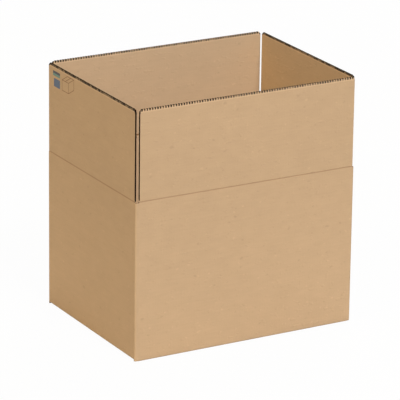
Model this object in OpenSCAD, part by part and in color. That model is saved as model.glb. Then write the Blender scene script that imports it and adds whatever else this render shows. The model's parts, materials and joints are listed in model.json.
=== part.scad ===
// Open shipping carton of the regular slotted kind, in millimetres with +Z up.
// One sheet of single-wall corrugated board is scored, slotted and folded round four walls. It is glued
// at a tab inside the rear right corner and over the crossed bottom flaps, and its four top flaps stand up.
// The origin is the middle of the underside, and the long front wall faces -Y.

/* [Carton] */
// Outside length, along the front and rear walls
box_l = 600; // [480:5:900]
// Outside width, along the left and right walls
box_w = 450; // [250:5:570]
// Height from the floor to the top score lines
body_h = 400; // [150:5:800]

/* [Board] */
// Thickness of the corrugated board
board_t = 4; // [3:0.1:6]
// Thickness of each flat liner
liner_t = 0.35; // [0.2:0.05:0.6]
// Thickness of the wavy medium between the liners
medium_t = 0.3; // [0.2:0.05:0.5]
// Distance from one flute to the next
flute_pitch = 7; // [5:0.1:10]

/* [Folds and scores] */
// Inside radius of a folded corner
fold_r = 0.5; // [0.2:0.1:2]
// Depth of a score line pressed into the outside
score_depth = 0.4; // [0.1:0.05:0.6]
// Height of the crushed band above a flap's crease, where the flutes end
crush_h = 4; // [1:0.5:20]
// Clear height between closed flaps that lie on each other
layer_gap = 0.3; // [0.2:0.05:1]
// Split between a flap and its wall along the crease
hinge_gap = 0.4; // [0.2:0.05:0.8]

/* [Slots and flaps] */
// Width of the slot between neighbouring flaps
slot_w = 10; // [8:0.5:20]
// Distance that the slots are cut off the corners: into the long flaps at the left, into the short one at the right
slot_off = 2.2; // [0:0.1:4]
// Radius of the flaps' free corners
flap_corner_r = 8; // [2:0.5:20]
// Gap between the facing long flaps when they are closed
meet_gap = 2; // [1:0.5:10]
// Height of the wall corners above the floor, at the bottom slots
corner_lift = 2; // [0.5:0.5:4]

/* [Glued corner] */
// Width of the glue tab on the inside of the rear wall
tab_w = 35; // [20:1:60]
// Distance of the tab's ends from the top and bottom of the wall
tab_trim = 20; // [12:1:40]
// Height that each end of the tab loses over its width
tab_end_cut = 10; // [2:1:20]
// Thickness of the glue line between the tab and the rear wall
glue_line = 0.2; // [0.1:0.05:0.5]
// Distance of the rear wall's cut end from the right face
joint_inset = 1.5; // [0.5:0.5:3]

/* [Hidden] */
$fn = 48;
kraft = "#CDAA86";

// Cuts run this far past the face that they open
cut_over = 2;
// Share of the pitch that a flute's crest lies flat on a liner
crest_share = 0.2;

// Outside radius of a folded corner
outer_r = fold_r + board_t;
// Depth of the glue tab's outer face behind the rear wall's outer face
tab_depth = board_t + glue_line;
// Distance from a corner of the carton to the cut end of a flap, for a slot that is centred on the corner
flap_inset = (slot_w + board_t) / 2;
// Slots stay on the corners so far that each flap folds in past its neighbours
slot_shift = min(slot_off, flap_inset - board_t - layer_gap);
long_span = box_l - 2 * flap_inset;
left_span = box_w - 2 * (flap_inset - slot_shift);
right_span = box_w - 2 * (flap_inset + slot_shift);

// The short flaps fold first and the long flaps lie on them, so the hinge lines step by one layer.
// Both score bands are one layer high and level with each other, and the hinge is at one edge of each.
score_w = board_t + layer_gap;
long_hinge_z = body_h + score_w / 2;
short_hinge_z = body_h - score_w / 2;
// Radius of the round bead that presses a score of that width and depth
score_r = (pow(score_w / 2, 2) + pow(score_depth, 2)) / (2 * score_depth);

// Facing long flaps reach the middle, top and bottom, and all four top flaps are cut level
flap_reach = (box_w - meet_gap) / 2;
flap_top_z = long_hinge_z + flap_reach;
slot_floor_z = short_hinge_z - hinge_gap / 2;

// Section of one flute: a flat crest, then a leg that crosses the board to the other liner
flute_rise = board_t - 2 * liner_t - medium_t;
crest_w = crest_share * flute_pitch;
leg_run = flute_pitch / 2 - crest_w;
leg_wall = medium_t * norm([flute_rise, leg_run]) / flute_rise;
leg_lap = leg_run * medium_t / (2 * flute_rise);
channel_top = crest_w / 2 + leg_lap - leg_wall / 2;
channel_base = channel_top + leg_run;

// Carries a section (depth from the outer face, height) along X
module along_wall(span) {
    translate([-span / 2, 0, 0])
        rotate([90, 0, 90])
            linear_extrude(span)
                children();
}

// Puts a wall's own frame on one side: outer face at y = 0, inwards along +Y
module on_side(turn, reach, z = 0) {
    rotate([0, 0, turn])
        translate([0, -reach, z])
            children();
}

// The four sides; on the long ones the middle between the slots lies off the middle of the wall
module on_front(z = 0) on_side(0, box_w / 2, z) translate([slot_shift, 0, 0]) children();
module on_right(z = 0) on_side(90, box_l / 2, z) children();
module on_rear(z = 0) on_side(180, box_w / 2, z) translate([-slot_shift, 0, 0]) children();
module on_left(z = 0) on_side(270, box_l / 2, z) children();

// Round-bottomed score line, as a section centred on the given height
module score_bead(height) {
    translate([score_depth - score_r, height])
        circle(score_r);
}

// Air channel on one liner, narrowing to the crest of the medium
module flute_channel() {
    polygon([
        [-channel_base, liner_t],
        [channel_base, liner_t],
        [channel_top, liner_t + flute_rise],
        [-channel_top, liner_t + flute_rise]
    ]);
}

// All the air channels of a flap: one row on the outer liner, and between them one on the inner liner
module flute_channels(span, base_z, top_z) {
    steps = ceil(span / flute_pitch / 2);
    translate([0, 0, base_z])
        linear_extrude(top_z - base_z)
            for (i = [-steps : steps]) {
                translate([i * flute_pitch, 0])
                    flute_channel();
                translate([(i + 1 / 2) * flute_pitch, board_t])
                    mirror([0, 1])
                        flute_channel();
            }
}

// Outline of a flap from its hinge line up, with rounded free corners
module flap_outline(span, height) {
    translate([-span / 2, 0])
        square([span, height - flap_corner_r]);
    translate([flap_corner_r - span / 2, 0])
        square([span - 2 * flap_corner_r, height]);
    for (side = [-1, 1])
        translate([side * (span / 2 - flap_corner_r), height - flap_corner_r])
            circle(flap_corner_r);
}

// Section of a flap: mitred inwards from the hinge line, so that it folds square
module flap_section(height, scored) {
    difference() {
        polygon([
            [0, hinge_gap / 2],
            [board_t, hinge_gap / 2 + board_t],
            [board_t, height],
            [0, height]
        ]);
        if (scored)
            score_bead(score_w / 2);
    }
}

// One top flap in its wall's frame, hinged at z = 0, with its flutes open along the cut top edge
module flap(span, height, scored) {
    color(kraft)
        difference() {
            intersection() {
                along_wall(span)
                    flap_section(height, scored);
                translate([0, board_t, 0])
                    rotate([90, 0, 0])
                        linear_extrude(board_t)
                            flap_outline(span, height);
            }
            flute_channels(span, hinge_gap / 2 + board_t + crush_h, height + cut_over);
        }
}

module long_flap() flap(long_span, flap_reach, false);
module short_flap(span) flap(span, flap_top_z - short_hinge_z, true);

// Plan of the four walls with round folds, open at the rear right corner
module wall_ring() {
    difference() {
        rounded_plan(box_l, box_w, outer_r);
        rounded_plan(box_l - 2 * board_t, box_w - 2 * board_t, fold_r);
        translate([box_l / 2 - outer_r, box_w / 2 - tab_depth - outer_r])
            square([outer_r + cut_over, tab_depth + outer_r + cut_over]);
    }
    glued_corner();
}

module rounded_plan(length, width, radius) {
    square([length - 2 * radius, width], center = true);
    square([length, width - 2 * radius], center = true);
    for (x = [-1, 1], y = [-1, 1])
        translate([x * (length / 2 - radius), y * (width / 2 - radius)])
            circle(radius);
}

// Plan of the glued corner: the right wall folds in behind the cut end of the rear wall
module glued_corner() {
    translate([box_l / 2 - outer_r, box_w / 2 - tab_depth - outer_r])
        quarter_fold();
    translate([box_l / 2 - outer_r, box_w / 2 - board_t])
        square([outer_r - joint_inset, board_t]);
}

// Quarter turn of board round a fold, in the corner between +X and +Y
module quarter_fold() {
    intersection() {
        difference() {
            circle(outer_r);
            circle(fold_r);
        }
        square(outer_r);
    }
}

// Section of a bottom flap: down the wall, round the fold and in along the floor
module bottom_section() {
    translate([outer_r, outer_r])
        rotate(180)
            quarter_fold();
    translate([outer_r, 0])
        square([flap_reach - outer_r, board_t]);
}

// Bottom flaps: the short pair folded in first, the long pair glued on underneath
module bottom_flaps() {
    on_front() along_wall(long_span) bottom_section();
    on_rear() along_wall(long_span) bottom_section();
    on_left(board_t) along_wall(left_span) bottom_section();
    on_right(board_t) along_wall(right_span) bottom_section();
}

// Top of a long wall between the slots: mitred to the hinge line, with its score just below
module long_wall_top() {
    foot = slot_floor_z - long_hinge_z;
    along_wall(long_span)
        difference() {
            polygon([
                [0, foot],
                [board_t, foot],
                [board_t, -hinge_gap / 2 - board_t],
                [0, -hinge_gap / 2]
            ]);
            score_bead(-score_w / 2);
        }
}

// Mitre cut along the top of a short wall, a little longer than the flap that folds over it
module short_wall_mitre(span) {
    along_wall(span + 2 * layer_gap)
        polygon([
            [-cut_over, cut_over - hinge_gap / 2],
            [board_t + cut_over, -hinge_gap / 2 - board_t - cut_over],
            [board_t + cut_over, cut_over - hinge_gap / 2]
        ]);
}

// Cut that frees a wall's foot for its bottom fold
module foot_cut(span, height) {
    along_wall(span)
        translate([-cut_over, -cut_over])
            square([board_t + 2 * cut_over, height + cut_over]);
}

// Glue tab against the inside of the rear wall, with slanted ends
module glue_tab() {
    low = corner_lift + tab_trim;
    high = slot_floor_z - tab_trim;
    translate([box_l / 2 - outer_r, box_w / 2 - tab_depth, 0])
        rotate([90, 0, 0])
            linear_extrude(board_t)
                polygon([
                    [0, low],
                    [-tab_w, low + tab_end_cut],
                    [-tab_w, high - tab_end_cut],
                    [0, high]
                ]);
}

// The folded and glued sheet without its top flaps
module carton_body() {
    color(kraft) {
        difference() {
            translate([0, 0, corner_lift])
                linear_extrude(slot_floor_z - corner_lift)
                    wall_ring();
            on_front() foot_cut(long_span, outer_r);
            on_rear() foot_cut(long_span, outer_r);
            on_left() foot_cut(left_span, board_t + outer_r);
            on_right() foot_cut(right_span, board_t + outer_r);
            on_left(short_hinge_z) short_wall_mitre(left_span);
            on_right(short_hinge_z) short_wall_mitre(right_span);
        }
        on_front(long_hinge_z) long_wall_top();
        on_rear(long_hinge_z) long_wall_top();
        bottom_flaps();
        glue_tab();
    }
}

module front_flap() on_front(long_hinge_z) long_flap();
module rear_flap() on_rear(long_hinge_z) long_flap();
module left_flap() on_left(short_hinge_z) short_flap(left_span);
module right_flap() on_right(short_hinge_z) short_flap(right_span);

carton_body();
front_flap();
rear_flap();
left_flap();
right_flap();
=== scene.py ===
import json
import math

import bpy
import numpy as np
from mathutils import Matrix, Vector


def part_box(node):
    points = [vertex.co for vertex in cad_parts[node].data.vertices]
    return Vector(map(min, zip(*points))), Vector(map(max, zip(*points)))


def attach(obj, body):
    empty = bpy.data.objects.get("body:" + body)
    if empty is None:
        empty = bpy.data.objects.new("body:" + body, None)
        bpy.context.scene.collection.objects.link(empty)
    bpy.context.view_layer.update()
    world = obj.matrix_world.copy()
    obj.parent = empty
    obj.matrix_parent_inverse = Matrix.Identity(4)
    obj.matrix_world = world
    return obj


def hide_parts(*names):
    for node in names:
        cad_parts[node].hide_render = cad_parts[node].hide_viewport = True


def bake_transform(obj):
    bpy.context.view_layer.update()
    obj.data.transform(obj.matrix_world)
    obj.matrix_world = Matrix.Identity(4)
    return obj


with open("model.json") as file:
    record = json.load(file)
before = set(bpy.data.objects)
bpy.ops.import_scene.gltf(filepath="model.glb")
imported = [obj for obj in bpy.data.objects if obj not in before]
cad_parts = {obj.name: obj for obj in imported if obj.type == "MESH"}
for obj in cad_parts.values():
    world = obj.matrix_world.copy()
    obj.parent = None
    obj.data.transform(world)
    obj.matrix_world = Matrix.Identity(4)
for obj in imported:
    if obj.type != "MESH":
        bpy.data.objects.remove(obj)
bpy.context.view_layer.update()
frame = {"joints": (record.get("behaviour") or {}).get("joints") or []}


# Walls, bottom flaps and glue tab: one sheet of corrugated board folded round four sides.
# Each panel runs from its hinge line down the wall, round the bottom fold and in along the floor,
# and the corners between the panels are round folds. The rear right corner is closed by a glued tab.
mm = 0.001
pitch = 7 * mm  # from flute to flute
ink_room = 0.05 * mm  # from the part's outer face to the paper's, taken up by print
fold_in = 0.5 * mm  # radius inside a fold
crush_radius = 3 * mm  # radius inside, where the board is crushed towards a crease
lip_radius = 0.1 * mm  # radius outside, at the top of a wall
split = 0.2 * mm  # from a hinge line to the board below it and above it
tip = 0.75 * mm  # depth of the thin ends of walls and flaps at a crease, behind the outer face
tip_half = 0.05 * mm  # half the thickness of a wall's thin end
corner_lift = 2 * mm  # from the floor to the lower end of the corner folds
crease_half = 3.5 * mm  # half the height of the liner's strip over a crease
sharp_from = math.radians(35)  # an edge that turns more than this is a cut and not a fold

half_length, half_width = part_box("carton_body")[1][:2]
front_low, front_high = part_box("front_flap")
board = front_high.y - front_low.y
long_half = (front_high.x - front_low.x) / 2
slot_shift = front_high.x - long_half
left_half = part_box("left_flap")[1].y
right_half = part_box("right_flap")[1].y
flap_top = front_high.z
hinge_z = {joint["child"].split("_")[0]: joint["pos_m"][2] for joint in frame["joints"]}
floor_reach = flap_top - hinge_z["front"]
slot_floor = hinge_z["left"] - split
score_z = (hinge_z["front"] + hinge_z["left"]) / 2
crease_low, crease_high = score_z - crease_half, score_z + crease_half
fold_out = fold_in + board

# The sides in the order of the blank, and both ends of each one's flaps along it.
# The slots between the flaps lie a little off the corners.
SIDES = ("front", "right", "rear", "left")
ends = {
    "front": (slot_shift - long_half, slot_shift + long_half),
    "right": (-right_half, right_half),
    "rear": (-slot_shift - long_half, -slot_shift + long_half),
    "left": (-left_half, left_half),
}


def on_side(side, along, depth, z):
    """Points of a wall's own frame in the shared frame: (along, depth - reach, z), turned a quarter per side.

    along runs to the right as seen from outside, and depth is measured inwards from the outer face."""
    turn = SIDES.index(side) * math.pi / 2
    reach = half_width if side in ("front", "rear") else half_length
    along, depth, z = np.broadcast_arrays(along, depth, z)
    inward = depth - reach
    x = along * math.cos(turn) - inward * math.sin(turn)
    y = along * math.sin(turn) + inward * math.cos(turn)
    return np.stack((x, y, z), axis=-1)


def on_blank(side, along, run):
    """Places on the flat blank: the distance along its four sides in a row, then the height, then 0."""
    along, run = np.broadcast_arrays(along, run)
    side_start = SIDES.index(side) * (half_length + half_width)
    return np.stack((side_start + along, run, np.zeros(along.shape)), axis=-1)


def rounded_path(corners, radii, splits, steps=8):
    """Polyline through 2D corners whose inner corners are arcs: centre + r (cos, sin) over the turning angle.

    splits gives the number of equal parts of each straight stretch, and steps that of each arc."""
    corners = np.array(corners, float)
    path = [corners[:1]]
    for corner, before, after, radius in zip(corners[1:-1], corners[:-2], corners[2:], radii):
        way_in = (corner - before) / np.linalg.norm(corner - before)
        way_out = (after - corner) / np.linalg.norm(after - corner)
        turn = math.atan2(way_in[0] * way_out[1] - way_in[1] * way_out[0], way_in @ way_out)
        start = corner - way_in * radius * math.tan(abs(turn) / 2)
        to_centre = math.copysign(radius, turn) * np.array([-way_in[1], way_in[0]])
        angle = np.linspace(0, turn, steps + 1)[:, None]
        arm = -to_centre
        side_arm = np.array([-arm[1], arm[0]])
        path.append(start + to_centre + arm * np.cos(angle) + side_arm * np.sin(angle))
    path.append(corners[-1:])
    joined = [path[0]]
    for piece, count in zip(path[1:], splits):
        share = np.linspace(0, 1, count + 1)[1:-1, None]
        joined += [joined[-1][-1:] * (1 - share) + piece[:1] * share, piece]
    return np.concatenate(joined)


def path_length(path):
    """Distance from a path's start to each of its points: the sum of the steps before it."""
    return np.concatenate(([0], np.cumsum(np.linalg.norm(np.diff(path, axis=0), axis=1))))


def thick_sheet(outer, inner, blank, finish=(0, 0, 1), sides=(0, 1), from_cut=1.0):
    """Closed shell between two grids of points: the outer face, the inner face and a rim round the border.

    finish gives the material slots of the three. The third value of the blank's place goes from sides[0]
    on the outer face to sides[1] on the inner one. from_cut is each point's distance below the cut top
    edge, and a metre where there is no such edge."""
    rows, columns = outer.shape[:2]
    count = rows * columns
    index = np.arange(count).reshape(rows, columns)
    face = np.stack((index[:-1, :-1], index[1:, :-1], index[1:, 1:], index[:-1, 1:]), axis=-1).reshape(-1, 4)
    border = np.concatenate((index[0, :-1], index[:-1, -1], index[-1, :0:-1], index[:0:-1, 0]))
    ahead = np.roll(border, -1)
    rim = np.stack((border, ahead, ahead + count, border + count), axis=-1)
    quads = np.concatenate((face, face[:, ::-1] + count, rim))
    points = np.concatenate((outer.reshape(-1, 3), inner.reshape(-1, 3)))
    a, b, c, d = (points[quads[:, k]] for k in range(4))
    volume = np.einsum("ij,ij->", a, np.cross(b, c)) + np.einsum("ij,ij->", a, np.cross(c, d))
    if volume < 0:
        quads = quads[:, ::-1]
    places = np.concatenate([blank.reshape(-1, 3) + (0, 0, side) for side in sides])
    slots = np.repeat(finish, (len(face), len(face), len(rim)))
    distance = np.tile(np.broadcast_to(from_cut, (rows, columns)).ravel(), 2)
    return points, quads, places, slots, distance


def add_piece(name, shells, materials, crush=0.0):
    """One mesh object at the origin from closed shells, smooth round the folds and sharp at the cuts.

    The value after the materials widens the painted shade of the dark cells along a cut edge, for the whole
    piece."""
    starts = np.cumsum([0] + [len(shell[0]) for shell in shells])
    points = np.concatenate([shell[0] for shell in shells])
    quads = np.concatenate([shell[1] + start for shell, start in zip(shells, starts)])
    places = np.concatenate([shell[2] for shell in shells])
    slots = np.concatenate([shell[3] for shell in shells])
    distance = np.concatenate([shell[4] for shell in shells])
    mesh = bpy.data.meshes.new(name)
    mesh.from_pydata(points.tolist(), [], quads.tolist())
    for material in materials:
        mesh.materials.append(material)
    mesh.polygons.foreach_set("material_index", slots.astype(np.int32))
    layers = (
        ("sheet", "FLOAT_VECTOR", "vector", places.ravel()),
        ("from_cut", "FLOAT", "value", distance),
        ("crush", "FLOAT", "value", np.full(len(points), crush)),
    )
    for label, kind, key, values in layers:
        layer = mesh.attributes.new(label, kind, "POINT")
        layer.data.foreach_set(key, values.astype(np.float32))
    mesh.shade_smooth()
    mesh.set_sharp_from_angle(angle=sharp_from)
    piece = bpy.data.objects.new(name, mesh)
    bpy.context.scene.collection.objects.link(piece)
    return piece


def linear(hex_colour):
    """Linear RGBA of an sRGB hex colour."""
    channels = [int(hex_colour[k : k + 2], 16) / 255 for k in (1, 3, 5)]
    return [c / 12.92 if c <= 0.04045 else ((c + 0.055) / 1.055) ** 2.4 for c in channels] + [1]


def add_node(tree, kind, values=None, links=None, **settings):
    """Adds one node with its settings, its input values and the links into its inputs."""
    node = tree.nodes.new(kind)
    for key, value in settings.items():
        setattr(node, key, value)
    for socket, value in (values or {}).items():
        node.inputs[socket].default_value = value
    for socket, source in (links or {}).items():
        tree.links.new(source, node.inputs[socket])
    return node


def new_material(name):
    """An empty material with its node tree and its shader."""
    material = bpy.data.materials.new(name)
    material.use_nodes = True
    tree = material.node_tree
    return material, tree, tree.nodes["Principled BSDF"]


def sheet_noise(tree, place, along, across, low, high, detail=2, span=(0.3, 0.7)):
    """Noise with a grain given in metres along and across the blank, its span brought to low to high."""
    face_to_face = 9  # steps of the noise from the outer face to the inner one, which makes them differ
    scaled = add_node(
        tree,
        "ShaderNodeVectorMath",
        {1: (1 / along, 1 / across, face_to_face)},
        {0: place},
        operation="MULTIPLY",
    )
    noise = add_node(
        tree,
        "ShaderNodeTexNoise",
        {"Scale": 1, "Detail": detail, "Roughness": 0.55},
        {"Vector": scaled.outputs[0]},
    )
    ranged = add_node(
        tree,
        "ShaderNodeMapRange",
        {"From Min": span[0], "From Max": span[1], "To Min": low, "To Max": high},
        {"Value": noise.outputs["Fac"]},
    )
    return ranged.outputs["Result"]


# Kraft linerboard: matt warm brown paper. Painted shade darkens it to a browner colour along the scores, and
# painted floor bounce light makes it lighter low on the walls and darker higher up. Clouds, level fibre
# streaks, sparse flecks, dents and a washboard over the flutes, drawn coarser than real so that they show,
# keep it papery.
# Along a flap's knife cut, painted shade draws the open flutes as a row of dark cells, over a pale band of
# painted highlight along the edge.
outside_brown, inside_brown = linear("#C2A585"), linear("#CFB597")
# Painted shade: a browner colour along the scores, and a near black in the cells along a cut.
crease_shade_brown, cell_shade_black = linear("#7A5230"), linear("#0E0703")
# Painted floor bounce light: the colour is scaled from a lighter tone at a sheet's foot to a darker one at
# the given height.
tone_height, bounce_lit_foot, bounce_shaded_top = 420 * mm, 1.085, 0.965
crease_shade_share, score_core = 0.4, 0.6 * mm
score_reach_outside, score_reach_inside = 2 * mm, 6 * mm
# Painted highlight: within a few millimetres of a cut the colour is lightened, fading out further from it.
cell_depth, cell_end, edge_highlight_end = 5 * mm, 5.6 * mm, 9 * mm
cell_softness, edge_highlight_tone = 0.15, 1.25
washboard_height, dent_depth = 0.01 * mm, 0.3 * mm
flutes = 2 * math.pi / pitch

kraft, tree, shader = new_material("kraft_linerboard")
place = add_node(tree, "ShaderNodeAttribute", attribute_name="sheet").outputs["Vector"]
spot = add_node(tree, "ShaderNodeSeparateXYZ", {}, {0: place})
# Painted floor bounce light: lighter low on the walls and darker higher up.
painted_bounce_ramp = add_node(
    tree,
    "ShaderNodeMapRange",
    {"From Min": 0, "From Max": tone_height, "To Min": bounce_lit_foot, "To Max": bounce_shaded_top},
    {"Value": spot.outputs["Y"]},
)
tone = painted_bounce_ramp.outputs["Result"]
broad = sheet_noise(tree, place, 420 * mm, 300 * mm, 0.98, 1.02)
clouds = sheet_noise(tree, place, 45 * mm, 30 * mm, 0.98, 1.02)
streaks = sheet_noise(tree, place, 60 * mm, 5 * mm, 0.985, 1.015)
grain = sheet_noise(tree, place, 4 * mm, 2 * mm, 0.985, 1.015)
dark_flecks = sheet_noise(tree, place, 18 * mm, 11 * mm, 0.91, 1, detail=1, span=(0.24, 0.31))
pale_flecks = sheet_noise(tree, place, 15 * mm, 11 * mm, 1, 1.08, detail=1, span=(0.69, 0.76))
for layer in (broad, clouds, streaks, grain, dark_flecks, pale_flecks):
    tone = add_node(tree, "ShaderNodeMath", {}, {0: tone, 1: layer}, operation="MULTIPLY").outputs[0]
base = add_node(
    tree,
    "ShaderNodeMix",
    {6: outside_brown, 7: inside_brown},
    {0: spot.outputs["Z"]},
    data_type="RGBA",
)
colour = add_node(
    tree, "ShaderNodeVectorMath", {}, {0: base.outputs[2], "Scale": tone}, operation="SCALE"
)

off_score = add_node(tree, "ShaderNodeMath", {1: score_z}, {0: spot.outputs["Y"]}, operation="SUBTRACT")
off_score = add_node(tree, "ShaderNodeMath", {}, {0: off_score.outputs[0]}, operation="ABSOLUTE")
score_reach = add_node(
    tree,
    "ShaderNodeMath",
    {1: score_reach_inside - score_reach_outside, 2: score_reach_outside},
    {0: spot.outputs["Z"]},
    operation="MULTIPLY_ADD",
)
# Painted shade: along the score line the colour is mixed towards a browner one, wider on the inner face,
# where the crease falls into shade.
painted_crease_shade = add_node(
    tree,
    "ShaderNodeMapRange",
    {"From Min": score_core, "To Min": crease_shade_share, "To Max": 0},
    {"Value": off_score.outputs[0], "From Max": score_reach.outputs[0]},
)
colour = add_node(
    tree,
    "ShaderNodeMix",
    {7: crease_shade_brown},
    {0: painted_crease_shade.outputs["Result"], 6: colour.outputs[0]},
    data_type="RGBA",
)

from_cut = add_node(tree, "ShaderNodeAttribute", attribute_name="from_cut").outputs["Fac"]
# Painted highlight: the colour is lightened near the cut top edge, fading out further down.
painted_edge_highlight = add_node(
    tree,
    "ShaderNodeMapRange",
    {"From Min": cell_end, "From Max": edge_highlight_end, "To Min": edge_highlight_tone, "To Max": 1},
    {"Value": from_cut},
)
colour = add_node(
    tree,
    "ShaderNodeVectorMath",
    {},
    {0: colour.outputs[2], "Scale": painted_edge_highlight.outputs["Result"]},
    operation="SCALE",
)

# Painted shade: a cell is darkened where the medium stands off this face, as the shade in an open flute:
# cos, turned round on the inner face, plus the piece's bias.
flute_angle = add_node(tree, "ShaderNodeMath", {1: flutes}, {0: spot.outputs["X"]}, operation="MULTIPLY")
cell = add_node(tree, "ShaderNodeMath", {}, {0: flute_angle.outputs[0]}, operation="COSINE")
facing = add_node(tree, "ShaderNodeMath", {1: -2, 2: 1}, {0: spot.outputs["Z"]}, operation="MULTIPLY_ADD")
crush = add_node(tree, "ShaderNodeAttribute", attribute_name="crush").outputs["Fac"]
cell = add_node(
    tree,
    "ShaderNodeMath",
    {},
    {0: cell.outputs[0], 1: facing.outputs[0], 2: crush},
    operation="MULTIPLY_ADD",
)
cell = add_node(
    tree,
    "ShaderNodeMapRange",
    {"From Min": -cell_softness, "From Max": cell_softness},
    {"Value": cell.outputs[0]},
)
# Painted shade: the cells are mixed towards near black within a few millimetres of the cut, unevenly along
# it.
painted_cell_shade = add_node(
    tree,
    "ShaderNodeMapRange",
    {"From Min": cell_depth, "From Max": cell_end, "To Min": 1, "To Max": 0},
    {"Value": from_cut},
).outputs["Result"]
uneven = sheet_noise(tree, place, 12 * mm, 1, 0.7, 1, detail=0, span=(0.36, 0.5))
for share in (cell.outputs["Result"], uneven):
    painted_cell_shade = add_node(tree, "ShaderNodeMath", {}, {0: painted_cell_shade, 1: share}, operation="MULTIPLY").outputs[0]
colour = add_node(
    tree, "ShaderNodeMix", {7: cell_shade_black}, {0: painted_cell_shade, 6: colour.outputs[0]}, data_type="RGBA"
)
tree.links.new(colour.outputs[2], shader.inputs["Base Color"])
shader.inputs["Roughness"].default_value = 0.88
shader.inputs["Specular IOR Level"].default_value = 0.3

ripple = add_node(tree, "ShaderNodeMath", {}, {0: flute_angle.outputs[0]}, operation="SINE")
washboard = add_node(
    tree,
    "ShaderNodeBump",
    {"Strength": 1, "Distance": washboard_height},
    {"Height": ripple.outputs[0]},
)
dents = sheet_noise(tree, place, 16 * mm, 10 * mm, 0, 1, detail=1, span=(0.6, 0.72))
dented = add_node(
    tree,
    "ShaderNodeBump",
    {"Strength": 1, "Distance": dent_depth},
    {"Height": dents, "Normal": washboard.outputs[0]},
)
tree.links.new(dented.outputs[0], shader.inputs["Normal"])

# Cut board edge: two liners with the wave of the darker medium between them, and shadow in the open flutes.
# The shares are of the board's thickness.
flute_shadow, medium_brown, liner_brown = linear("#4A3828"), linear("#9A7856"), linear("#B8946F")
middle_share, wave_share = 0.5, 0.4
medium_shares, liner_shares = (0.05, 0.12), (0.40, 0.43)

cut_edge, tree, shader = new_material("cut_board_edge")
place = add_node(tree, "ShaderNodeAttribute", attribute_name="sheet").outputs["Vector"]
spot = add_node(tree, "ShaderNodeSeparateXYZ", {}, {0: place})
wave = add_node(tree, "ShaderNodeMath", {1: flutes}, {0: spot.outputs["X"]}, operation="MULTIPLY")
wave = add_node(tree, "ShaderNodeMath", {}, {0: wave.outputs[0]}, operation="COSINE")
wave = add_node(
    tree,
    "ShaderNodeMath",
    {1: wave_share, 2: middle_share},
    {0: wave.outputs[0]},
    operation="MULTIPLY_ADD",
)
off_wave = add_node(
    tree, "ShaderNodeMath", {}, {0: spot.outputs["Z"], 1: wave.outputs[0]}, operation="SUBTRACT"
)
off_wave = add_node(tree, "ShaderNodeMath", {}, {0: off_wave.outputs[0]}, operation="ABSOLUTE")
off_middle = add_node(
    tree, "ShaderNodeMath", {1: middle_share}, {0: spot.outputs["Z"]}, operation="SUBTRACT"
)
off_middle = add_node(tree, "ShaderNodeMath", {}, {0: off_middle.outputs[0]}, operation="ABSOLUTE")
on_medium = add_node(
    tree,
    "ShaderNodeMapRange",
    {"From Min": medium_shares[0], "From Max": medium_shares[1], "To Min": 1, "To Max": 0},
    {"Value": off_wave.outputs[0]},
)
on_liner = add_node(
    tree,
    "ShaderNodeMapRange",
    {"From Min": liner_shares[0], "From Max": liner_shares[1], "To Min": 0, "To Max": 1},
    {"Value": off_middle.outputs[0]},
)
inside = add_node(
    tree,
    "ShaderNodeMix",
    {6: flute_shadow, 7: medium_brown},
    {0: on_medium.outputs["Result"]},
    data_type="RGBA",
)
edge_colour = add_node(
    tree,
    "ShaderNodeMix",
    {7: liner_brown},
    {0: on_liner.outputs["Result"], 6: inside.outputs[2]},
    data_type="RGBA",
)
tree.links.new(edge_colour.outputs[2], shader.inputs["Base Color"])
shader.inputs["Roughness"].default_value = 0.95
shader.inputs["Specular IOR Level"].default_value = 0.1

panel_columns = 25
panel_splits = (12, 24, 1)


def panel(side, floor_z):
    """One wall with its bottom flap: a section (depth, height) with round folds, carried along the wall.

    The section starts at the bottom flap's free edge and ends in a mitred tip under the crease."""
    mitre_z = hinge_z[side] - split
    outer = rounded_path(
        [
            (floor_reach, floor_z),
            (ink_room, floor_z),
            (ink_room, crease_low),
            (tip - tip_half, mitre_z - tip),
        ],
        (fold_out, lip_radius),
        panel_splits,
    )
    inner = rounded_path(
        [
            (floor_reach, floor_z + board),
            (board, floor_z + board),
            (board, mitre_z - board),
            (tip + tip_half, mitre_z - tip),
        ],
        (fold_in, crush_radius),
        panel_splits,
    )
    along = np.linspace(*ends[side], panel_columns)[:, None]
    run = path_length(outer)
    run += crease_low - np.interp(crease_low, outer[:, 1], run)
    return thick_sheet(
        on_side(side, along, outer[:, 0], outer[:, 1]),
        on_side(side, along, inner[:, 0], inner[:, 1]),
        on_blank(side, along, run),
    )


corner_rows = 13
corner_heights = np.linspace(corner_lift, slot_floor, corner_rows)
corner_splits = (2, 2)


def fold_round(side, next_side):
    """Round fold at the right end of a side, as far as the next side's panel: an arc carried up the wall."""
    half_side, half_next = half_length, half_width
    if side in ("right", "left"):
        half_side, half_next = half_width, half_length
    start, inset = ends[side][1], half_next + ends[next_side][0]

    def arc(depth, radius):
        """Plan of one face of the board, at its depth behind the outer face of both walls."""
        far = half_side - depth
        return rounded_path([(start, depth), (far, depth), (far, inset)], (radius,), corner_splits)

    outer, inner = arc(ink_room, fold_out), arc(board, fold_in)
    return thick_sheet(
        on_side(side, outer[:, :1], outer[:, 1:], corner_heights),
        on_side(side, inner[:, :1], inner[:, 1:], corner_heights),
        on_blank(side, start + path_length(outer)[:, None], corner_heights),
    )


tab_width = 35 * mm
tab_trim = 20 * mm  # from the ends of the fold to the tab's ends
tab_cut = 10 * mm  # by which its ends slant over its width
tab_run = 7 * mm  # length of the fold on the blank
tab_columns = 9
tab_fold_y = half_width - board - fold_out
rear_end_gap = 1.5 * mm
rear_end_columns = 3


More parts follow.
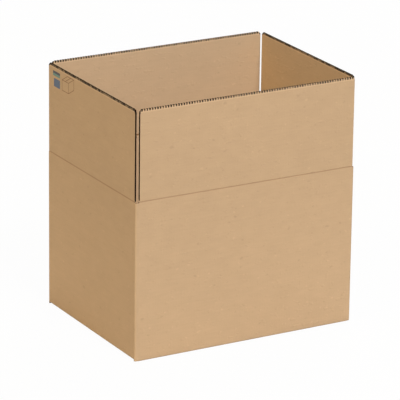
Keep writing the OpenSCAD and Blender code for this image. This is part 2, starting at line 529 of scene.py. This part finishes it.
def glue_fold():
    """Rear end of the right wall with its quarter fold behind the rear wall: r (sin, cos) about its axis."""
    angle = np.linspace(0, math.pi / 2, tab_columns)
    start = ends["right"][1]
    sheets = []
    for radius in (fold_out - ink_room, fold_in):
        along = np.append(start, tab_fold_y + radius * np.sin(angle))[:, None]
        depth = np.append(fold_out - radius, fold_out - radius * np.cos(angle))[:, None]
        sheets.append(on_side("right", along, depth, corner_heights))
    unrolled = np.append(start, tab_fold_y + fold_out * angle)[:, None]
    return thick_sheet(*sheets, on_blank("right", unrolled, corner_heights))


def glue_tab():
    """Tab inside the rear wall: a flat trapezium whose slanted ends are straight lines over its width."""
    across = np.linspace(0, tab_width, tab_columns)[:, None]
    slant = tab_cut * across / tab_width
    low = corner_lift + tab_trim + slant
    high = slot_floor - tab_trim - slant
    z = low + (high - low) * np.linspace(0, 1, corner_rows)
    sheets = [on_side("right", tab_fold_y + face, fold_out + across, z) for face in (fold_out, fold_in)]
    return thick_sheet(*sheets, on_blank("right", tab_fold_y + tab_run + across, z))


def rear_end():
    """Cut end of the rear wall over the glued corner, a flat strip."""
    along = np.linspace(rear_end_gap - half_length, ends["rear"][0], rear_end_columns)[:, None]
    sheets = [on_side("rear", along, depth, corner_heights) for depth in (ink_room, board)]
    return thick_sheet(*sheets, on_blank("rear", along, corner_heights))


carton = add_piece(
    "carton_board",
    [
        panel("front", 0),
        panel("right", board),
        panel("rear", 0),
        panel("left", board),
        fold_round("front", "right"),
        fold_round("rear", "left"),
        fold_round("left", "front"),
        rear_end(),
        glue_fold(),
        glue_tab(),
    ],
    (kraft, cut_edge),
)
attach(carton, "carton")
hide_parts("carton_body")


# Top flaps: two thin liners with the wavy medium between them, open along the cut top and side edges.
# A serrated knife notched the top edge, the side cuts are slightly ragged, and the outer liner is torn back
# at some ends. The free corners are rounded, and the foot is crushed thin at the crease.
liner = 0.35 * mm
medium = 0.3 * mm
corner_radius = 8 * mm
rag = 0.25 * mm
top_rag_step, side_rag_step = 4 * mm, 6 * mm
side_band = 4 * mm  # width along a side cut that is drawn in
notch = 2 * mm
torn_ends = {"front": -1.3 * mm, "rear": 1.3 * mm, "left": 1.6 * mm}  # the sign gives the end along the side
# How far the painted shade of the dark cells spreads along each flap's cut, more on the short sides.
cell_shade_share = {"front": 0.35, "right": 0.95, "rear": 0.45, "left": 0.95}
foot_height = 20 * mm  # from the score to the top of the inner liner's foot
foot_edge = 0.1 * mm  # by which the foot's hidden face starts further out and higher than its seen one
foot_lift_share = 0.4  # of a liner, by which the hidden face also bends higher
medium_rise = 2.3 * mm  # from the score to the medium, which stays clear of the pressed liner
medium_drop = 0.15 * mm  # from the top edge down to the medium's cut
outer_sides, inner_sides = (0, 0.1), (0.9, 1)  # each liner's two faces as shares of the board
random = np.random.default_rng(11)

# Steps of the meshes: the rows stand close together at a liner's cut and at the medium's foot.
liner_step, medium_step = pitch / 4, pitch / 12
corner_columns = 17
foot_splits = (3, 1)
liner_rows, last_row_share = 31, 0.97
foot_rows, foot_share, upper_rows = 8, 0.03, 12

# Fluting medium: dark paper, painted near black in the troughs as painted shade and browner at the crests by
# the outer liner as painted light, so a cut edge reads as a row of dark cells; the contrast is stronger than
# real so that it shows from afar.
trough_shade_black, crest_light_brown = linear("#120B06"), linear("#4A3624")
crest_cosines = (-0.95, -0.7)

shaded_fluting, tree, shader = new_material("fluting_medium")
place = add_node(tree, "ShaderNodeAttribute", attribute_name="sheet").outputs["Vector"]
spot = add_node(tree, "ShaderNodeSeparateXYZ", {}, {0: place})
crest = add_node(tree, "ShaderNodeMath", {1: flutes}, {0: spot.outputs["X"]}, operation="MULTIPLY")
crest = add_node(tree, "ShaderNodeMath", {}, {0: crest.outputs[0]}, operation="COSINE")
crest = add_node(
    tree,
    "ShaderNodeMapRange",
    {"From Min": crest_cosines[0], "From Max": crest_cosines[1], "To Min": 1, "To Max": 0},
    {"Value": crest.outputs[0]},
)
colour = add_node(
    tree,
    "ShaderNodeMix",
    {6: trough_shade_black, 7: crest_light_brown},
    {0: crest.outputs["Result"]},
    data_type="RGBA",
)
tree.links.new(colour.outputs[2], shader.inputs["Base Color"])
shader.inputs["Roughness"].default_value = 0.95
shader.inputs["Specular IOR Level"].default_value = 0.1


def ragged(positions, step):
    """Small random offsets between 0 and 1, joined by straight lines at the given step."""
    low, high = positions.min(), positions.max()
    knots = np.linspace(low, high, max(3, int((high - low) / step)))
    return np.interp(positions, knots, random.random(len(knots)))


def flap(side):
    """One top flap: outer liner, inner liner and the medium, mid depth + amplitude cos(2 pi along / pitch).

    Columns run along the crease and rows from the foot to the cut edge. That edge is rounded at its ends,
    top - r + sqrt(r^2 - d^2), where d is the distance past the start of the corner."""
    foot_z = hinge_z[side] + split
    middle = sum(ends[side]) / 2
    half_span = ends[side][1] - middle

    def columns(step):
        """Even steps to both sides of the middle, and finer ones round the corners."""
        corner = np.linspace(half_span - corner_radius, half_span, corner_columns)
        count = math.ceil((half_span - corner_radius) / step) - 1
        return np.concatenate((-corner[::-1], np.arange(-count, count + 1) * step, corner))[:, None]

    def top_edge(along):
        """Height of the cut edge, with the knife's rag."""
        past = np.clip(np.abs(along) - (half_span - corner_radius), 0, corner_radius)
        arc = np.sqrt(corner_radius**2 - past**2)
        return flap_top - corner_radius + arc - rag * ragged(along, top_rag_step)

    def notches(along, facing):
        """Teeth of the serrated knife: a dip of notch (1 + cos) / 2 over each flute open to the face."""
        return notch * (1 + facing * np.cos(flutes * along)) / 2

    def side_cut(along, z, pull=0):
        """Draws the last few millimetres of the columns in to a ragged side cut, and by a further pull."""
        near = np.clip((np.abs(along) - half_span + side_band) / side_band, 0, 1)
        return along - np.sign(along) * near * (rag * ragged(z, side_rag_step) + pull)

    share = np.append(np.linspace(0, last_row_share, liner_rows), 1)
    along = columns(liner_step)
    edge = top_edge(along)
    z = crease_high + (edge - notches(along, 1) - crease_high) * share
    torn = torn_ends.get(side, 0)
    cut = side_cut(along, z, np.where(along * torn > 0, abs(torn), 0))
    outer_liner = thick_sheet(
        on_side(side, middle + cut, ink_room, z),
        on_side(side, middle + cut, liner, z),
        on_blank(side, along, z),
        finish=(0, 1, 0),
        sides=outer_sides,
        from_cut=edge - z,
    )

    foot_top = score_z + foot_height
    face = rounded_path(
        [(tip, foot_z + tip), (board, foot_z + board), (board, foot_top)],
        (crush_radius,),
        foot_splits,
    )
    back = rounded_path(
        [
            (tip - foot_edge, foot_z + tip + foot_edge),
            (board - liner, foot_z + board + foot_lift_share * liner),
            (board - liner, foot_top),
        ],
        (crush_radius,),
        foot_splits,
    )
    rise = foot_top + (edge - notches(along, -1) - foot_top) * share[1:]
    straight = np.ones(rise.shape[1])
    depth_face = np.concatenate((face[:, 0], straight * board))
    depth_back = np.concatenate((back[:, 0], straight * (board - liner)))
    z_face = np.concatenate((np.broadcast_to(face[:, 1], (len(along), len(face))), rise), axis=1)
    z_back = np.concatenate((np.broadcast_to(back[:, 1], (len(along), len(back))), rise), axis=1)
    cut = side_cut(along, z_face)
    inner_liner = thick_sheet(
        on_side(side, middle + cut, depth_back, z_back),
        on_side(side, middle + cut, depth_face, z_face),
        on_blank(side, along, z_face),
        finish=(1, 0, 0),
        sides=inner_sides,
        from_cut=edge - z_face,
    )

    along = columns(medium_step)
    top = top_edge(along) - medium_drop
    foot = max(foot_z, score_z) + medium_rise
    share = np.append(np.linspace(0, foot_share, foot_rows), np.linspace(2 * foot_share, 1, upper_rows))
    z = foot + (top - foot) * share
    room = np.interp(z, back[:, 1], back[:, 0])
    amplitude = (room - liner - medium) / 2
    depth = (room + liner) / 2 + amplitude * np.cos(flutes * along)
    slope = -amplitude * flutes * np.sin(flutes * along)
    half_thick = medium / 2 / np.hypot(slope, 1)
    cut = middle + side_cut(along, z, medium)
    waves = [on_side(side, cut - off * slope, depth + off, z) for off in (-half_thick, half_thick)]
    wavy_medium = thick_sheet(*waves, on_blank(side, along, z), finish=(0, 0, 0))
    return [outer_liner, inner_liner], [wavy_medium]


for side in SIDES:
    liners, wave = flap(side)
    # The liners' faces turned to the flutes take the fluting material, whose dark colours are painted shade.
    leaf = add_piece(f"{side}_flap_liners", liners, (kraft, shaded_fluting), crush=cell_shade_share[side])
    core = add_piece(f"{side}_flap_medium", wave, (shaded_fluting,))
    for piece in (leaf, core):
        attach(piece, f"{side}_flap")
    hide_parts(f"{side}_flap")


# Creases: the outer liner runs unbroken from each wall into its flap, pressed in along the score line.
# The groove is a raised cosine over the score's width.
score_depth = 0.4 * mm
score_half = (hinge_z["front"] - hinge_z["left"]) / 2
bend_half = 1.2 * mm
crease_rows, crease_columns = 29, 61


def crease(side):
    """Strip of liner over one hinge, pushed in by depth (1 + cos) / 2 within half a score of its line."""
    z = np.linspace(crease_low, crease_high, crease_rows)
    away = np.clip((z - score_z) / score_half, -1, 1)
    depth = ink_room + score_depth * (1 + np.cos(np.pi * away)) / 2
    along = np.linspace(*ends[side], crease_columns)[:, None]
    return thick_sheet(
        on_side(side, along, depth, z),
        on_side(side, along, depth + liner - ink_room, z),
        on_blank(side, along, z),
        sides=outer_sides,
    )


for side in SIDES:
    # The strip's rims take the fluting material, whose dark colours are painted shade.
    strip = add_piece(f"{side}_crease", [crease(side)], (kraft, shaded_fluting))
    below = on_side(side, 0.0, 0.0, hinge_z[side] - bend_half).tolist()
    above = on_side(side, 0.0, 0.0, hinge_z[side] + bend_half).tolist()
    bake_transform(strip)


# Printed mark: three plain fields of colour and a line-drawn carton with its centre seam, near the rear top
# corner of the left flap. The ink lies flush on the outer liner and is soaked in rather than glossy.
stroke = 1.2 * mm


def ink(name, hex_colour):
    """Matt printing ink on kraft: the paper's grain shows through as small changes of tone."""
    material, tree, shader = new_material(name)
    place = add_node(tree, "ShaderNodeAttribute", attribute_name="sheet").outputs["Vector"]
    grain = sheet_noise(tree, place, 3 * mm, 2 * mm, 0.88, 1.12)
    colour = add_node(
        tree, "ShaderNodeVectorMath", {0: linear(hex_colour)[:3]}, {"Scale": grain}, operation="SCALE"
    )
    tree.links.new(colour.outputs[0], shader.inputs["Base Color"])
    shader.inputs["Roughness"].default_value = 0.8
    shader.inputs["Specular IOR Level"].default_value = 0.3
    return material


def printed(corners):
    """Thin patch of ink over four places, given in mm from the rear corner and below the flap's top edge."""
    from_rear, below = np.array(corners).reshape(2, 2, 2).transpose(2, 0, 1) * mm
    along, z = from_rear - half_width, flap_top - below
    sheets = [on_side("left", along, depth, z) for depth in (0.0, ink_room)]
    return thick_sheet(*sheets, on_blank("left", along, z), finish=(0, 0, 0))


def field(near, far, upper, lower):
    """Upright rectangle of ink between two distances from the rear corner and two below the top edge."""
    return printed([(near, upper), (far, upper), (near, lower), (far, lower)])


def line(start, end):
    """Straight stroke of even width between two places on the flap."""
    start, end = np.array(start, float), np.array(end, float)
    ahead = (end - start) / np.linalg.norm(end - start)
    aside = np.array([-ahead[1], ahead[0]]) * stroke / mm / 2
    return printed([start - aside, end - aside, start + aside, end + aside])


rim_left, rim_back, rim_right, rim_front = (75, 27), (102.5, 11.5), (136, 11.5), (108.5, 27)
foot_left, foot_front, foot_right = (75, 53), (108.5, 53), (136, 37.5)
seam_front, seam_back = (91.75, 27), (119.25, 11.5)
drawing = [
    (rim_left, rim_back),
    (rim_back, rim_right),
    (rim_right, rim_front),
    (rim_front, rim_left),
    (seam_front, seam_back),
    (rim_left, foot_left),
    (rim_front, foot_front),
    (rim_right, foot_right),
    (foot_left, foot_front),
    (foot_front, foot_right),
]
slate_field = field(near=27, far=64, upper=15, lower=21)
teal_field = field(near=27, far=64, upper=21, lower=27)
blue_field = field(near=32, far=64, upper=33, lower=54)
marks = [
    ("mark_slate", [slate_field], ink("slate_ink", "#5A5C64")),
    ("mark_teal", [teal_field], ink("teal_ink", "#74928A")),
    ("mark_blue", [blue_field], ink("blue_ink", "#64728A")),
    ("mark_drawing", [line(*stretch) for stretch in drawing], ink("brown_ink", "#7A5A3A")),
]
for name, patches, colour in marks:
    mark = add_piece(name, patches, (colour,))
    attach(mark, "left_flap")


# Studio: a pale paper floor under a white sky, a soft white key from the front, a warm fill from the left
# and a broad lamp behind on the right. The floor is lifted to white for the eye and keeps a light shadow.
floor_half, floor_drop = 30, 0.2 * mm
floor_grey = linear("#D2D2D2")
floor_lift = 0.97
sky_level = 0.24
carton_middle = Vector((0, 0, 0.3))


def white_to_eye(tree):
    """1 for rays from the eye and for mirror and glass rays, which all see the plain white background."""
    rays = add_node(tree, "ShaderNodeLightPath")
    seen = rays.outputs["Is Camera Ray"]
    for kind in ("Is Glossy Ray", "Is Transmission Ray"):
        either = add_node(tree, "ShaderNodeMath", {}, {0: seen, 1: rays.outputs[kind]}, operation="MAXIMUM")
        seen = either.outputs[0]
    return seen


floor_mesh = bpy.data.meshes.new("floor")
square = ((-1, -1), (1, -1), (1, 1), (-1, 1))
floor_corners = [(x * floor_half, y * floor_half, -floor_drop) for x, y in square]
floor_mesh.from_pydata(floor_corners, [], [(0, 1, 2, 3)])
floor = bpy.data.objects.new("floor", floor_mesh)
bpy.context.scene.collection.objects.link(floor)
paper, tree, shader = new_material("white_studio_paper")
shader.inputs["Base Color"].default_value = floor_grey
shader.inputs["Roughness"].default_value = 1
shader.inputs["Specular IOR Level"].default_value = 0
glow = add_node(tree, "ShaderNodeEmission", {"Color": (1, 1, 1, 1), "Strength": 1})
lift = add_node(tree, "ShaderNodeMath", {1: floor_lift}, {0: white_to_eye(tree)}, operation="MULTIPLY")
mixed = add_node(
    tree, "ShaderNodeMixShader", {}, {0: lift.outputs[0], 1: shader.outputs[0], 2: glow.outputs[0]}
)
tree.links.new(mixed.outputs[0], tree.nodes["Material Output"].inputs["Surface"])
floor_mesh.materials.append(paper)

world = bpy.data.worlds.new("studio")
world.use_nodes = True
bpy.context.scene.world = world
tree = world.node_tree
strength = add_node(
    tree, "ShaderNodeMapRange", {"To Min": sky_level, "To Max": 1}, {"Value": white_to_eye(tree)}
)
sky = tree.nodes["Background"]
sky.inputs["Color"].default_value = (1, 1, 1, 1)
tree.links.new(strength.outputs["Result"], sky.inputs["Strength"])


def soft_lamp(name, place, size, watts, colour):
    """Square area lamp at a place, turned to the middle of the carton."""
    lamp = bpy.data.lights.new(name, "AREA")
    lamp.size = size
    lamp.energy = watts
    lamp.color = colour
    stand = bpy.data.objects.new(name, lamp)
    stand.location = place
    stand.rotation_mode = "QUATERNION"
    stand.rotation_quaternion = (carton_middle - Vector(place)).to_track_quat("-Z", "Y")
    bpy.context.scene.collection.objects.link(stand)


soft_lamp("key", place=(0, -7.0, 8.3), size=2.5, watts=880, colour=(1, 0.97, 0.91))
soft_lamp("fill", place=(-7.2, -1.2, 6.5), size=5, watts=340, colour=(1, 0.76, 0.37))
soft_lamp("rear", place=(6.0, 6.4, 5.6), size=5, watts=550, colour=(1, 0.95, 0.87))


# Camera: a long lens from the front left and a little above, as in the photograph.
# It is rolled slightly, and its aim is moved off the carton's middle to place the carton in the picture.
azimuth, elevation, roll = (math.radians(angle) for angle in (-29.7, 18.8, 0.75))
distance = 8
aim_right, aim_down = 0.6 * mm, 7.5 * mm
flat = math.cos(elevation)
back = Vector((math.sin(azimuth) * flat, -math.cos(azimuth) * flat, math.sin(elevation)))
right = Vector((math.cos(azimuth), math.sin(azimuth), 0))
up = back.cross(right)
aim = carton_middle + aim_right * right - aim_down * up
lens = bpy.data.cameras.new("camera")
lens.sensor_width = 36
lens.lens = 295
camera = bpy.data.objects.new("camera", lens)
rolled_right = right * math.cos(roll) + up * math.sin(roll)
rolled_up = up * math.cos(roll) - right * math.sin(roll)
turn = Matrix((rolled_right, rolled_up, back)).transposed()
camera.matrix_world = Matrix.Translation(aim + distance * back) @ turn.to_4x4()
bpy.context.scene.collection.objects.link(camera)
bpy.context.scene.camera = camera
bpy.context.scene.view_settings.view_transform = "Standard"
